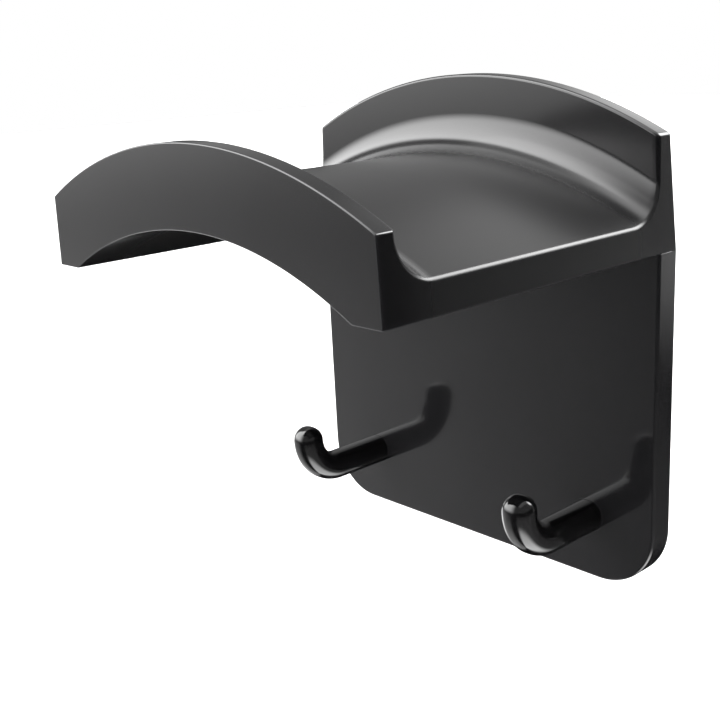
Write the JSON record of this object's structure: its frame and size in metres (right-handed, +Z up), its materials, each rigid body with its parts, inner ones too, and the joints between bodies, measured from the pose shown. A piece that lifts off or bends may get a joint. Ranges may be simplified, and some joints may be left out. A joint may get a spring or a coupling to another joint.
{
  "type": "headphone hook",
  "caption": "Adhesive wall hook for headphones: an arched saddle with a front lip and a rear flange, on a back plate with small J hooks.",
  "frame": {"origin": "centre of the adhesive pad's face against the wall", "axes": "+X across the width to the viewer's right when facing the wall, +Y into the wall, +Z up"},
  "size_m": [0.08, 0.0665, 0.0874],
  "materials": {
    "saddle_plastic": "satin",
    "plate_plastic": "gloss",
    "hook_plastic": "gloss",
    "screw_steel": "satin",
    "pad_foam": "matte"
  },
  "bodies": {
    "root": {"saddle": "saddle_plastic", "back_plate": "plate_plastic", "hook_left": "hook_plastic", "hook_right": "hook_plastic", "saddle_screw_1": "screw_steel", "saddle_screw_2": "screw_steel", "saddle_screw_3": "screw_steel", "saddle_screw_4": "screw_steel", "hook_screw_left": "screw_steel", "hook_screw_right": "screw_steel", "adhesive_pad": "pad_foam"}
  },
  "joints": []
}
